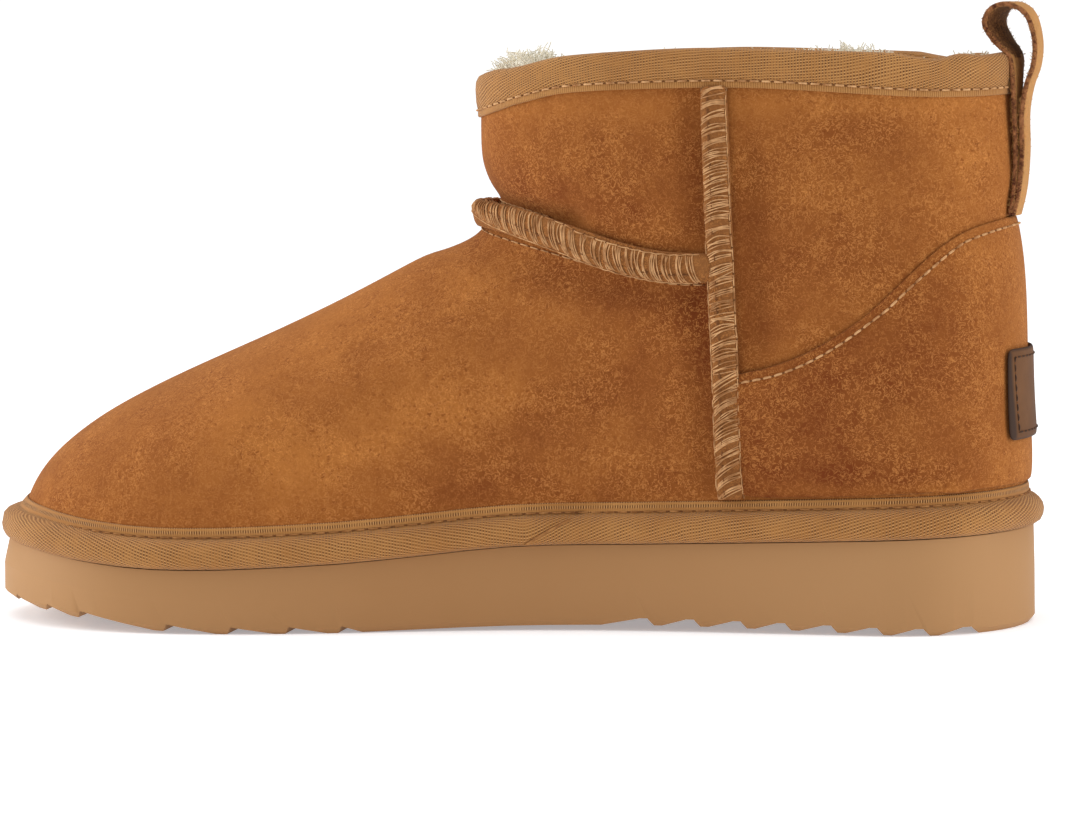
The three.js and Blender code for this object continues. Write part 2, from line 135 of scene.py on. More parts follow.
overhead = bpy.data.objects.new("overhead_light", bpy.data.lights.new("overhead_light", "SUN"))
overhead.data.energy = OVERHEAD_STRENGTH
overhead.data.angle = math.radians(80)
bpy.context.scene.collection.objects.link(overhead)

# Sole
# One-piece moulded foam glued under the upper: a smooth side wall, saw-tooth lugs underneath and a soft
# edge all round. The foam is painted a little paler toward the toe and the heel: painted highlight where
# the ends face the side lights.
FOAM_LIGHT = srgb(173, 130, 86)
FOAM_DARK = srgb(161, 116, 72)
FOAM_SHIFT = 5 * MM
SOLE_EDGE = 0.6 * MM
SOLE_CORNER = math.radians(32)


def welded(node):
    """A copy of a CAD node as one skin of four-sided faces."""
    skin = bmesh.new()
    skin.from_mesh(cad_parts[node].data)
    bmesh.ops.remove_doubles(skin, verts=skin.verts, dist=0.005 * MM)
    bmesh.ops.join_triangles(
        skin, faces=skin.faces, angle_face_threshold=math.radians(35), angle_shape_threshold=math.radians(60)
    )
    return skin


def add_piece(name, skin, material, nodes=()):
    """Makes a piece of the finished skin, on the boot's one body."""
    if isinstance(skin, bmesh.types.BMesh):
        mesh = bpy.data.meshes.new(name)
        skin.to_mesh(mesh)
        skin.free()
    else:
        mesh = skin
        mesh.name = name
    mesh.shade_smooth()
    piece = bpy.data.objects.new(name, mesh)
    for entry in material if isinstance(material, list) else [material]:
        mesh.materials.append(entry)
    bpy.context.scene.collection.objects.link(piece)
    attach(piece, "root")
    if nodes:
        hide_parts(*nodes)
    return piece


class Recipe:
    """A material under construction: node() adds a node, whose inputs are given by name or as i0, i1 ..."""

    def __init__(self, name, roughness):
        self.material = bpy.data.materials.new(name)
        self.material.use_nodes = True
        self.tree = self.material.node_tree
        self.shader = self.tree.nodes["Principled BSDF"]
        self.shader.inputs["Roughness"].default_value = roughness
        self.shader.inputs["Specular IOR Level"].default_value = 0.2

    def fill(self, socket, value):
        """Wires the value to the socket if it comes from a node, and sets it otherwise."""
        if isinstance(value, bpy.types.NodeSocket):
            self.tree.links.new(value, socket)
        else:
            socket.default_value = value

    def node(self, kind, settings=None, **inputs):
        made = self.tree.nodes.new("ShaderNode" + kind)
        for key, value in (settings or {}).items():
            setattr(made, key, value)
        for key, value in inputs.items():
            numbered = key[0] == "i" and key[1:].isdigit()
            self.fill(made.inputs[int(key[1:]) if numbered else key], value)
        return made

    def place(self, kind="Object"):
        return self.node("TexCoord").outputs[kind]

    def cloud(self, place, size, detail=3.0, roughness=0.55, distortion=0.0):
        """Noise whose blotches are about size metres across."""
        settings = {"Scale": 0.5 / size, "Detail": detail, "Roughness": roughness, "Distortion": distortion}
        return self.node("TexNoise", Vector=place, **settings).outputs["Fac"]

    def spread(self, value, low, high, to_low=0.0, to_high=1.0):
        return self.node("MapRange", i0=value, i1=low, i2=high, i3=to_low, i4=to_high).outputs["Result"]

    def blend(self, share, first, second):
        return self.node("Mix", {"data_type": "RGBA"}, i0=share, i6=first, i7=second).outputs[2]

    def maths(self, operation, first, second=0.0):
        return self.node("Math", {"operation": operation}, i0=first, i1=second).outputs[0]

    def bump(self, height, strength, depth, under=None):
        made = self.node("Bump", Height=height, Strength=strength, Distance=depth)
        if under is not None:
            self.tree.links.new(under, made.inputs["Normal"])
        return made.outputs["Normal"]

    def finish(self, colour, normal=None):
        self.tree.links.new(colour, self.shader.inputs["Base Color"])
        if normal is not None:
            self.tree.links.new(normal, self.shader.inputs["Normal"])
        return self.material


foam_mix = Recipe("moulded_foam", 0.62)
foam_place = foam_mix.place()
foam_cloud = foam_mix.cloud(foam_place, 30 * MM, 2.0)
foam_fine = foam_mix.cloud(foam_place, 1.2 * MM, 3.0)
foam_along = foam_mix.node("SeparateXYZ", i0=foam_place).outputs[0]
foam_away = foam_mix.maths("ABSOLUTE", foam_mix.maths("ADD", foam_along, FOAM_SHIFT))
# Painted highlight: paler the further from the middle, toward the toe and the heel
foam_end_highlight = foam_mix.spread(foam_away, 20 * MM, 120 * MM, 0.0, 0.8)
foam_tone = foam_mix.maths("ADD", foam_end_highlight, foam_mix.spread(foam_cloud, 0.35, 0.65, 0.0, 0.2))
foam_colour = foam_mix.blend(foam_tone, FOAM_DARK, FOAM_LIGHT)
foam = foam_mix.finish(foam_colour, foam_mix.bump(foam_fine, 0.15, 0.2 * MM))

sole = add_piece("foam_sole", welded("sole"), foam, ["sole"])
sole_round = sole.modifiers.new("soft edges", "BEVEL")
sole_round.width = SOLE_EDGE
sole_round.segments = 2
sole_round.limit_method = "ANGLE"
sole_round.angle_limit = SOLE_CORNER
sole.data.set_sharp_from_angle(angle=SOLE_CORNER)

# Upper
# Suede, nap side out: quarters, vamp and shaft cut as panels and sewn with raised seams. The panels
# pillow beside the seams, and wear has left soft troughs on the vamp.
SUEDE_DARK = srgb(110, 51, 14)
SUEDE_LIGHT = srgb(177, 111, 50)
SUEDE_TIP = srgb(211, 141, 75)
SUEDE_SHEEN = srgb(232, 186, 130)
UPPER_HEART = Vector((70, 0, 70)) * MM
INNER_REACH = 300 * MM


def stroke(start, end, reach, strength, side=None):
    """A soft mark along a line, given in x and z in mm, with its half width in mm. side is -1 for the inner
    and 1 for the outer side, where the mark isn't on both."""
    start = Vector(start) * MM
    along = Vector(end) * MM - start
    return {"start": start, "along": along, "reach": reach * MM, "strength": strength, "side": side}


# Ridges (plus) and troughs (minus), with their height in mm
CREASES = [
    stroke((55, 132), (56.5, 100), 4.5, -1.5),
    stroke((67.5, 118), (68.5, 74), 5, -1.5),
    stroke((55.5, 84), (57, 38), 3.5, -1.2),
    stroke((-16, 97), (52, 83.5), 5, -1.0),
    stroke((-4, 106), (22, 102.5), 3.4, -2.0),
    stroke((24, 102), (52, 97), 4, -0.5),
    stroke((-58, 42), (12, 62), 9, 0.9, side=-1),
    stroke((-34, 58), (-8, 76), 8, 0.7),
    stroke((-80, 48), (-62, 56), 8, 0.6),
    stroke((10, 38), (34, 44), 8, 0.7),
    stroke((-50, 50), (20, 50), 9, 0.7, side=1),
    stroke((129.5, 114), (129.5, 142), 8, 2.3),
]
# Painted onto the suede, lighter (plus) or darker (minus): painted shade along the troughs and painted
# highlight along the ridges, with other patches where the nap lies lighter or darker
PAINTED_SHADE_AND_NAP = [
    stroke((55.5, 133), (56.5, 102), 6, -0.24),
    stroke((68, 122), (69, 76), 6, -0.16),
    stroke((56, 84), (58, 38), 5, -0.25),
    stroke((-5, 94), (52, 82), 6, -0.28),
    stroke((-4, 112), (40, 104), 6, -0.22),
    stroke((12, 118), (46, 112), 14, -0.14),
    stroke((-48, 42), (7, 61), 8, 0.26, side=-1),
    stroke((-66, 52), (-58, 54), 9, 0.16, side=-1),
    stroke((26, 43), (33, 45), 8, 0.22, side=-1),
    stroke((-6, 88), (2, 90), 7, 0.3),
    stroke((-46, 77), (-36, 80), 9, 0.12),
    stroke((5, 46), (46, 62), 20, -0.2),
    stroke((-12, 32), (50, 36), 7, -0.14),
    stroke((117, 128), (120, 122), 10, 0.14),
    stroke((82, 126), (104, 122), 8, -0.16),
    stroke((76, 96), (100, 98), 16, -0.2),
    stroke((0, 130), (124, 131), 3, 0.16),
    stroke((-30, 50), (20, 46), 12, 0.15, side=1),
    stroke((-90, 40), (-70, 46), 12, -0.15, side=1),
]


def clamped(value):
    """The value held between 0 and 1."""
    return min(max(value, 0.0), 1.0)


def strokes_at(place, strokes):
    """The sum of the strokes drawn on the sides of the boot, at one place."""
    total = 0.0
    side = -1 if place.y < 0 else 1
    for mark in strokes:
        if mark["side"] not in (None, side):
            continue
        along = mark["along"]
        spot = Vector((place.x, place.z)) - mark["start"]
        share = clamped(spot.dot(along) / along.length_squared)
        away = (spot - along * share).length / mark["reach"]
        total += mark["strength"] * math.exp(-away * away)
    return total


def suede_mix(name, dark, light):
    """Brushed suede: soft blotches where the nap lies either way, and curly fibre tips over dark pits."""
    mix = Recipe(name, 0.95)
    place = mix.place()
    blotch = mix.spread(mix.cloud(place, 15 * MM, 3.0, 0.6, 0.6), 0.3, 0.7)
    patch = mix.spread(mix.cloud(place, 4 * MM, 3.0, 0.6, 0.6), 0.3, 0.7)
    brushed = mix.spread(mix.cloud(place, 7 * MM, 2.0, 0.5), 0.38, 0.6, 0.45, 1.0)
    # Painted shade in the troughs and painted highlight on the ridges, stored on the skin, added to the tone
    painted_shade_and_nap = mix.node("Attribute", {"attribute_name": "painted_shade_and_nap"}).outputs["Fac"]
    tone = mix.maths("ADD", mix.maths("MULTIPLY", blotch, 0.18), mix.maths("MULTIPLY", patch, 0.2))
    tone = mix.spread(mix.maths("ADD", mix.maths("ADD", tone, 0.29), painted_shade_and_nap), 0.0, 1.0)
    tips = mix.cloud(place, 0.65 * MM, 2.0, 0.55, 1.2)
    curl = mix.spread(mix.maths("ABSOLUTE", mix.maths("SUBTRACT", tips, 0.5)), 0.0, 0.05, 1.0, 0.0)
    pits = mix.spread(mix.cloud(place, 0.6 * MM, 2.0, 0.6), 0.3, 0.46, 1.0, 0.0)
    colour = mix.blend(tone, dark, light)
    colour = mix.blend(mix.maths("MULTIPLY", mix.maths("MULTIPLY", pits, brushed), 0.6), colour, dark)
    colour = mix.blend(mix.maths("MULTIPLY", mix.maths("MULTIPLY", curl, brushed), 0.6), colour, SUEDE_TIP)
    mix.shader.inputs["Sheen Weight"].default_value = 0.12
    mix.shader.inputs["Sheen Roughness"].default_value = 0.4
    mix.shader.inputs["Sheen Tint"].default_value = SUEDE_SHEEN
    rough = mix.bump(patch, 0.2, 0.3 * MM)
    return mix.finish(colour, mix.bump(curl, 0.35, 0.15 * MM, rough))


suede = suede_mix("suede", SUEDE_DARK, SUEDE_LIGHT)


def refined(skin, levels):
    """The skin after smooth subdivision."""
    rough = bpy.data.objects.new("rough", bpy.data.meshes.new("rough"))
    skin.to_mesh(rough.data)
    skin.free()
    bpy.context.scene.collection.objects.link(rough)
    smooth = rough.modifiers.new("smooth", "SUBSURF")
    smooth.levels = levels
    smooth.render_levels = levels
    finer = bpy.data.meshes.new_from_object(rough.evaluated_get(bpy.context.evaluated_depsgraph_get()))
    result = bmesh.new()
    result.from_mesh(finer)
    bpy.data.meshes.remove(rough.data)
    bpy.data.meshes.remove(finer)
    return result


def looks_in(whole, place, normal):
    """Whether a spot on the hollow upper lies on its inner wall."""
    hit = whole.ray_cast(place + normal * 0.5 * MM, normal, INNER_REACH)[0]
    return hit is not None or normal.dot((UPPER_HEART - place).normalized()) > 0.2


def creased(skin, creases, painted_shade_and_nap):
    """Moves each point of the skin by the listed ridges and troughs, and notes the painted shade, painted
    highlight and nap tone there. Both faces of a wall move the same way."""
    skin.normal_update()
    whole = BVHTree.FromBMesh(skin)
    tones = skin.verts.layers.float.new("painted_shade_and_nap")
    moves = []
    for vert in skin.verts:
        rise = strokes_at(vert.co, creases) * MM
        moves.append((vert, vert.normal * (-rise if looks_in(whole, vert.co, vert.normal) else rise)))
    for vert, move in moves:
        vert[tones] = strokes_at(vert.co, painted_shade_and_nap)
        vert.co += move
    skin.normal_update()
    return skin


upper_skin = creased(refined(welded("upper"), 2), CREASES, PAINTED_SHADE_AND_NAP)
upper_face = BVHTree.FromBMesh(upper_skin)
add_piece("suede_upper", upper_skin, suede, ["upper"])


class Trail:
    """A line on the boot. At a distance along it, at() gives the place, the way out of the face and the way
    on."""

    def __init__(self, spots, closed=False):
        spots = spots + spots[:1] if closed else spots
        self.points = [place for place, out in spots]
        self.outs = [out for place, out in spots]
        self.closed = closed
        self.reached = [0.0]
        for here, ahead in zip(self.points, self.points[1:]):
            self.reached.append(self.reached[-1] + (ahead - here).length)
        self.length = self.reached[-1]

    def at(self, distance):
        distance = distance % self.length if self.closed else min(max(distance, 0.0), self.length)
        low, high = 0, len(self.reached) - 1
        while high - low > 1:
            middle = (low + high) // 2
            if self.reached[middle] <= distance:
                low = middle
            else:
                high = middle
        share = (distance - self.reached[low]) / max(self.reached[high] - self.reached[low], 1e-9)
        place = self.points[low].lerp(self.points[high], share)
        out = self.outs[low].lerp(self.outs[high], share).normalized()
        return place, out, (self.points[high] - self.points[low]).normalized()


def around(face, height_at, front, back, start, end, count=400):
    """A trail round the boot, found by looking in level from outside. Turns go from 0 at the back over
    0.25 on the inner side and 0.5 at the toe. front and back are the ends of the line looked at."""
    spots = []
    closed = abs(end - start) >= 1
    for index in range(count if closed else count + 1):
        angle = (start + (end - start) * index / count) * math.tau
        aim = Vector(((front + back) / 2 + (back - front) / 2 * math.cos(angle), 0.0, 0.0))
        outward = Vector((math.cos(angle), -math.sin(angle), 0.0))
        x = aim.x + outward.x * 35 * MM
        for _ in range(3):
            eye = aim + outward * 0.3
            eye.z = height_at(x)
            place, normal, _, _ = face.ray_cast(eye, -outward)
            x = place.x
        spots.append((place, normal))
    return Trail(spots, closed)


def rounded(before, first, second, after, share):
    """A share of the way from first to second, on a curve that runs on smoothly past both."""
    return first + 0.5 * share * (
        second - before + share * (
            2 * before - 5 * first + 4 * second - after + share * (3 * (first - second) + after - before)
        )
    )


def smooth_table(table, unit=MM):
    """A function of x in metres through a short table from x in mm to a value, with rounded corners."""
    places = [x * MM for x in table]
    values = [value * unit for value in table.values()]

    def at(x):
        x = min(max(x, places[0]), places[-1])
        index = max(i for i in range(len(places) - 1) if places[i] <= x)
        share = (x - places[index]) / (places[index + 1] - places[index])
        after = values[min(index + 2, len(values) - 1)]
        return rounded(values[max(index - 1, 0)], values[index], values[index + 1], after, share)
    return at


# Heel counter
# A second layer of suede over the back quarter. Its top edge is folded under and topstitched, and its
# front edge is caught under the side seam.
COUNTER_CREASES = [
    stroke((104, 38), (121, 41), 5, -0.7),
    stroke((118, 36), (124, 46), 4, 0.8),
    stroke((72, 58), (100, 66), 9, 0.5),
    stroke((90, 45), (108, 60), 8, 0.5),
]
# Painted onto the counter, lighter (plus) or darker (minus): painted shade along its trough and painted
# highlight down the back of the heel, with other patches where the nap lies lighter or darker
COUNTER_PAINTED_SHADE_AND_NAP = [
    stroke((72, 40), (104, 70), 26, -0.36),
    stroke((131, 40), (131, 94), 7, 0.1),
    stroke((92, 38), (118, 41), 6, -0.12),
    stroke((76, 36), (120, 36), 2, 0.14),
]
COUNTER_FRONT = 70 * MM
COUNTER_TUCK = 3.5 * MM
COUNTER_EDGE = {60: 63.5, 66: 64.7, 77: 67.4, 89: 73.3, 101.5: 82.2, 111: 91.2, 120: 98.7, 134: 102.8}
COUNTER_MARGIN = 2.0 * MM

counter_skin = creased(refined(welded("heel_counter"), 2), COUNTER_CREASES, COUNTER_PAINTED_SHADE_AND_NAP)
for vert in counter_skin.verts:
    vert.co.x -= COUNTER_TUCK * clamped((COUNTER_FRONT - vert.co.x) / (4 * MM))
counter_face = BVHTree.FromBMesh(counter_skin)
add_piece("heel_counter_suede", counter_skin, suede, ["heel_counter"])

# Topstitching
# Lockstitch in light tan thread, machine sewn through tape, suede or leather: each stitch lies flat and
# dives into a needle hole at both ends. The holes are short dark strokes of painted shade.
THREAD_PALE = srgb(210, 162, 112)
THREAD_TAN = srgb(158, 108, 64)
HOLE_DARK = srgb(84, 50, 28)
HOLE_BROWN = srgb(116, 72, 38)
HOLE_LIFT = 0.02 * MM

thread_mix = Recipe("tan_thread", 0.75)
thread_place = thread_mix.place()
thread_tone = thread_mix.spread(thread_mix.cloud(thread_place, 1.5 * MM, 2.0), 0.35, 0.65)
thread_fine = thread_mix.cloud(thread_place, 0.25 * MM, 2.0)
tan_thread = thread_mix.finish(
    thread_mix.blend(thread_tone, THREAD_TAN, THREAD_PALE), thread_mix.bump(thread_fine, 0.4, 0.1 * MM)
)
# Painted shade for the needle holes, also used for the shade line along the bead's lapped joint
hole_mix = Recipe("painted_shade_mark", 0.95)
hole_tone = hole_mix.spread(hole_mix.cloud(hole_mix.place(), 2 * MM), 0.3, 0.7, 0.6, 1.2)
painted_shade_mark = hole_mix.finish(hole_mix.blend(hole_tone, HOLE_DARK, HOLE_BROWN))


def strands(lines, radius, sides=1):
    """A mesh of round threads, one along each line of points."""
    curve = bpy.data.curves.new("strands", "CURVE")
    curve.dimensions = "3D"
    curve.bevel_depth = radius
    curve.bevel_resolution = sides
    curve.use_fill_caps = True
    for line in lines:
        spline = curve.splines.new("POLY")
        spline.points.add(len(line) - 1)
        spline.points.foreach_set("co", [value for point in line for value in (*point, 1.0)])
    holder = bpy.data.objects.new("strands", curve)
    mesh = bpy.data.meshes.new_from_object(holder)
    bpy.data.objects.remove(holder)
    bpy.data.curves.remove(curve)
    return mesh


def stitch_lines(trail, pitch, covered, lift, start=0.0, end=None):
    """Stitches along a trail: covered is the share of the pitch that each one covers, lift how far its
    middle stands out."""
    end = trail.length if end is None else end
    count = max(int((end - start) / pitch), 1)
    lines = []
    for index in range(count):
        middle = start + (index + 0.5) * (end - start) / count
        line = []
        for step in range(5):
            share = step / 4
            place, out, _ = trail.at(middle + (share - 0.5) * pitch * covered)
            line.append(place + out * (lift * (math.sin(math.pi * share) * 1.6 - 0.6)))
        lines.append(line)
    return lines


def hole_lines(trail, pitch, size, start=0.0, end=None):
    """Short dark strokes of painted shade where the needle went in, between the stitches."""
    end = trail.length if end is None else end
    count = max(int((end - start) / pitch), 1)
    lines = []
    for index in range(count + 1):
        place, out, ahead = trail.at(start + index * (end - start) / count)
        place += out * HOLE_LIFT
        lines.append([place - ahead * size / 2, place + ahead * size / 2])
    return lines


def topstitch(name, trail, pitch, covered, thread, lift, hole, material=tan_thread):
    """Stitches and the painted shade of their needle holes along a trail, as one piece."""
    joined = bmesh.new()
    joined.from_mesh(strands(stitch_lines(trail, pitch, covered, lift), thread))
    stitched = len(joined.faces)
    joined.from_mesh(strands(hole_lines(trail, pitch, hole), 0.2 * MM, 0))
    joined.faces.ensure_lookup_table()
    for face in joined.faces[stitched:]:
        face.material_index = 1
    return add_piece(name, joined, [material, painted_shade_mark])


counter_edge_at = smooth_table(COUNTER_EDGE)
counter_trail = around(
    counter_face, lambda x: counter_edge_at(x) - COUNTER_MARGIN, 30 * MM, 95 * MM, -0.25, 0.25, 260
)
topstitch("counter_topstitch", counter_trail, 2.8 * MM, 0.68, 0.3 * MM, 0.32 * MM, 0.6 * MM)

# Raised seams
# The panels' edges are turned up together into a ridge and overlocked: bundles of thread cross the ridge
# and a locking thread runs along its edge.
SIDE_SEAM_WIDTH = 7.0 * MM
SIDE_SEAM_LOW = Vector((62.4, 33.5)) * MM
SIDE_SEAM_HIGH = Vector((59.5, 136.0)) * MM
INSTEP_SEAM = {
    -12: 103.6, -6.5: 103.5, 4.6: 102.0, 12.4: 100.3, 19.9: 98.3, 27.4: 96.1, 34.8: 94.0, 42: 92.4,
    49: 91.4, 60: 91.2,
}
INSTEP_WIDTH = 7.9 * MM
SEAM_PITCH = 3.1 * MM
SEAM_THREAD = 0.155 * MM
SEAM_ENDS = 2.5 * MM
SEAM_FOOT = 0.2 * MM
SEAM_TAPER = 3 * MM
# Shares of a seam's width from its middle: its edges, and the stitches along the foot of the instep seam
SEAM_EDGE = 0.47
INSTEP_STITCHES = -0.62
# How far the front of the instep ridge stands forward, and where and how fast that grows
FRONT_FILL = 2.4 * MM
FRONT_START = Vector((6, 0, 101)) * MM
FRONT_GROWTH = Vector((10, 0, 4.5)) * MM
# Painted shade of the needle holes of a raised seam: share of its width from the middle, size, and shift
# as a share of a stitch
SEAM_HOLES = [
    {"share": -0.15, "size": 1.5 * MM, "shift": 0.5},
    {"share": SEAM_EDGE, "size": 0.4 * MM, "shift": 0.0},
]
random.seed(7)

ridge_suede = suede_mix("seam_suede", srgb(100, 54, 22), srgb(158, 104, 56))


def on_ridge(faces, place, outward, lift):
    """The place moved in level onto the first of the faces, then out by lift."""
    for face in faces:
        hit = face.ray_cast(place + outward * 30 * MM, -outward, 60 * MM)[0]
        if hit is not None:
            return hit + outward * lift
    return place


def across(out, ahead):
    """The way across a seam that runs ahead, level with the face under it."""
    return ahead.cross(out).normalized()


def overlock(trail, sign, faces, width, slant_at):
    """Threads over a ridge: each stitch is a bundle of strands that fan out a little as they cross it."""
    lines = []
    count = int(trail.length / SEAM_PITCH)
    for index in range(count):
        middle = (index + 0.5) * trail.length / count
        slant = slant_at(trail.at(middle)[0]) * width
        swing = random.uniform(-0.35, 0.35) * MM
        for strand in range(5):
            begin = (strand - 2) * random.uniform(0.3, 0.52) * MM + swing
            finish = (strand - 2) * random.uniform(0.25, 0.6) * MM - swing + slant
            if random.random() < 0.18:
                finish += random.uniform(-1.2, 1.2) * MM
            bow = random.uniform(0.0, 0.9) * MM
            low, high = random.uniform(-SEAM_EDGE, -0.38), random.uniform(0.4, SEAM_EDGE)
            height = random.uniform(1.3, 2.4)
            line = []
            for step in range(9):
                share = step / 8
                distance = middle - slant / 2 + begin + (finish - begin) * share
                distance += bow * math.sin(math.pi * share)
                place, out, ahead = trail.at(distance)
                spot = place + across(out, ahead) * sign * (low + (high - low) * share) * width
                ends = 1.0 - abs(2 * share - 1) ** 8
                line.append(on_ridge(faces, spot, out, SEAM_THREAD * (height * ends - 0.5)))
            lines.append(line)
    return lines


def seam_line(face, side):
    """The middle of a side seam on the upper, from the bead up to the collar tape."""
    spots = []
    for step in range(61):
        spot = SIDE_SEAM_LOW.lerp(SIDE_SEAM_HIGH, step / 60)
        place, normal, _, _ = face.ray_cast(Vector((spot.x, side * 0.2, spot.y)), Vector((0.0, -side, 0.0)))
        spots.append((place, Vector((0.0, side, 0.0)).lerp(normal, 0.5)))
    return Trail(spots)


def beside(trail, share, width, faces, lift):
    """A trail that runs along a seam at a share of its width from the middle."""
    spots = []
    for step in range(121):
        place, out, ahead = trail.at(trail.length * step / 120)
        spots.append((on_ridge(faces, place + across(out, ahead) * share * width, out, lift), out))
    return Trail(spots)


def raised_seam(name, node, trail, sign, width, slant_at, upright):
    """One raised seam: the suede ridge, the overlocked strands, the locking threads and the painted shade of
    the needle holes.
    """
    ridge = refined(welded(node), 2)
    low = min(vert.co.z for vert in ridge.verts)
    high = max(vert.co.z for vert in ridge.verts)
    back = max(vert.co.x for vert in ridge.verts)
    for vert in ridge.verts:
        if upright:
            vert.co.z -= SEAM_FOOT * max(1 - (vert.co.z - low) / SEAM_TAPER, 0.0)
            vert.co.z += SEAM_ENDS * max(1 - (high - vert.co.z) / SEAM_TAPER, 0.0)
        else:
            vert.co.x += SEAM_ENDS * max(1 - (back - vert.co.x) / SEAM_TAPER, 0.0)
            forward = clamped((FRONT_START.x - vert.co.x) / FRONT_GROWTH.x)
            vert.co.x -= FRONT_FILL * forward * clamped((vert.co.z - FRONT_START.z) / FRONT_GROWTH.z)
    faces = [BVHTree.FromBMesh(ridge), upper_face]
    add_piece(name + "_ridge", ridge, ridge_suede, [node])
    wraps = overlock(trail, sign, faces, width, slant_at)
    for share in (-SEAM_EDGE, SEAM_EDGE):
        edge = beside(trail, share * sign, width, faces, 0.1 * MM)
        wraps += stitch_lines(edge, SEAM_PITCH, 0.96, 0.26 * MM)
    add_piece(name + "_threads", strands(wraps, SEAM_THREAD), tan_thread)
    holes = []
    for row in SEAM_HOLES:
        edge = beside(trail, row["share"] * sign, width, faces, HOLE_LIFT)
        pitch = edge.length / int(trail.length / SEAM_PITCH)
        start = (row["shift"] + 0.5) * pitch
        holes += hole_lines(edge, pitch, row["size"], start, edge.length - 0.5 * pitch)
    add_piece(name + "_needle_hole_shades", strands(holes, 0.32 * MM), painted_shade_mark)


def side_slant(place):
    return 0.5 if place.z < 64 * MM else 0.24


for name, side in (("inner", -1), ("outer", 1)):
    trail = seam_line(upper_face, side)
    raised_seam(name + "_side_seam", "side_seam_" + name, trail, -side, SIDE_SEAM_WIDTH, side_slant, True)
instep_trail = around(upper_face, smooth_table(INSTEP_SEAM), 15 * MM, 95 * MM, 0.248, 0.752, 240)
raised_seam("instep_seam", "instep_seam", instep_trail, 1, INSTEP_WIDTH, lambda place: 0.24, False)
under_instep = beside(instep_trail, INSTEP_STITCHES, INSTEP_WIDTH, [upper_face], 0.05 * MM)
topstitch("instep_topstitch", under_instep, 3.2 * MM, 0.7, 0.2 * MM, 0.22 * MM, 0.4 * MM)

# Twill tapes
# The collar edge is bound in folded twill tape, and a tape over a cord makes the bead that hides the join
# of upper and sole. The twill's ribs turn a little as the bias-cut tape goes round.
# The darkest tape colour is painted shade in the rib grooves, the palest is painted highlight on the rib
# crowns
TAPE_GROOVE_SHADE = srgb(92, 54, 22)
TAPE_MIDDLE = srgb(156, 104, 52)
TAPE_LIGHT = srgb(176, 124, 68)
TAPE_CROWN_HIGHLIGHT = srgb(210, 160, 104)
RIB_PITCH = 0.7 * MM
KNOT_PITCH = 0.75 * MM


def wrapped(columns, rows, place_at, ribs_at=lambda along, over, middle: (along, over)):
    """A sheet bent to shape. place_at takes the shares along and over it, and gives the place. ribs_at also
    takes the face's own share over it, and gives the weave's two counts. Edges that meet are closed."""
    skin = bmesh.new()
    bmesh.ops.create_grid(skin, x_segments=columns, y_segments=rows, size=0.5)
    shares = {vert: (vert.co.x + 0.5, vert.co.y + 0.5) for vert in skin.verts}
    weave = skin.loops.layers.uv.new("weave")
    for face in skin.faces:
        middle = sum(shares[vert][1] for vert in face.verts) / len(face.verts)
        for corner in face.loops:
            corner[weave].uv = ribs_at(*shares[corner.vert], middle)
    for vert, (along, over) in shares.items():
        vert.co = place_at(along, over)
    bmesh.ops.remove_doubles(skin, verts=skin.verts, dist=0.001 * MM)
    bmesh.ops.recalc_face_normals(skin, faces=skin.faces)
    return skin


def section_at(section, share):
    """A point on a section of a tape, given as a share of its rows."""
    spot = share * (len(section) - 1)
    index = min(int(spot), len(section) - 2)
    return Vector(section[index]).lerp(Vector(section[index + 1]), spot - index)


def level_out(out, ahead):
    """The level way out from a line that runs ahead."""
    level = Vector((ahead.y, -ahead.x, 0.0)).normalized()
    return level if level.dot(out) > 0 else -level


twill_mix = Recipe("twill_tape", 0.85)
twill_ribs = twill_mix.node("SeparateXYZ", i0=twill_mix.place("UV"))
twill_place = twill_mix.place()
wobble = twill_mix.spread(twill_mix.cloud(twill_place, 2 * MM, 2.0), 0.3, 0.7, -0.9, 0.9)
rib_turn = twill_mix.maths("ADD", twill_mix.maths("MULTIPLY", twill_ribs.outputs[0], math.tau), wobble)
rib_wave = twill_mix.maths("SINE", rib_turn)
knot_wave = twill_mix.maths("SINE", twill_mix.maths("MULTIPLY", twill_ribs.outputs[1], math.tau))
# The grooves between the ribs are painted darker and the rib crowns paler: painted shade and painted
# highlight of the weave's relief, which the bump also gives
groove = twill_mix.spread(rib_wave, -0.75, 0.25, 1.0, 0.0)
worn = twill_mix.spread(twill_mix.cloud(twill_place, 1.3 * MM, 2.0), 0.32, 0.68, 0.5, 1.3)
knots = twill_mix.maths("MULTIPLY", twill_mix.spread(knot_wave, -0.6, 0.6, 0.05, 1.0), worn)
gaps = twill_mix.maths("MULTIPLY", groove, knots)
crowns = twill_mix.maths("MULTIPLY", twill_mix.spread(rib_wave, 0.35, 0.95), knots)
twill_cloud = twill_mix.spread(twill_mix.cloud(twill_place, 10 * MM, 4.0), 0.3, 0.7)
twill_colour = twill_mix.blend(twill_cloud, TAPE_MIDDLE, TAPE_LIGHT)
twill_colour = twill_mix.blend(gaps, twill_colour, TAPE_GROOVE_SHADE)
twill_colour = twill_mix.blend(twill_mix.maths("MULTIPLY", crowns, 0.75), twill_colour, TAPE_CROWN_HIGHLIGHT)
twill_mix.shader.inputs["Sheen Weight"].default_value = 0.1
twill_height = twill_mix.maths("SUBTRACT", crowns, gaps)
twill = twill_mix.finish(twill_colour, twill_mix.bump(twill_height, 0.6, 0.2 * MM))


def rib_sums(trail, turn_at, count=400):
    """How many ribs the tape has gone past along a trail, when turn_at(place) is their slant."""
    sums = [0.0]
    for index in range(count):
        place, _, _ = trail.at(trail.length * (index + 0.5) / count)
        sums.append(sums[-1] + math.sin(turn_at(place)) * trail.length / count / RIB_PITCH)

    def at(share):
        spot = clamped(share) * count
        index = min(int(spot), count - 1)
        return sums[index] + (sums[index + 1] - sums[index]) * (spot - index)
    return at


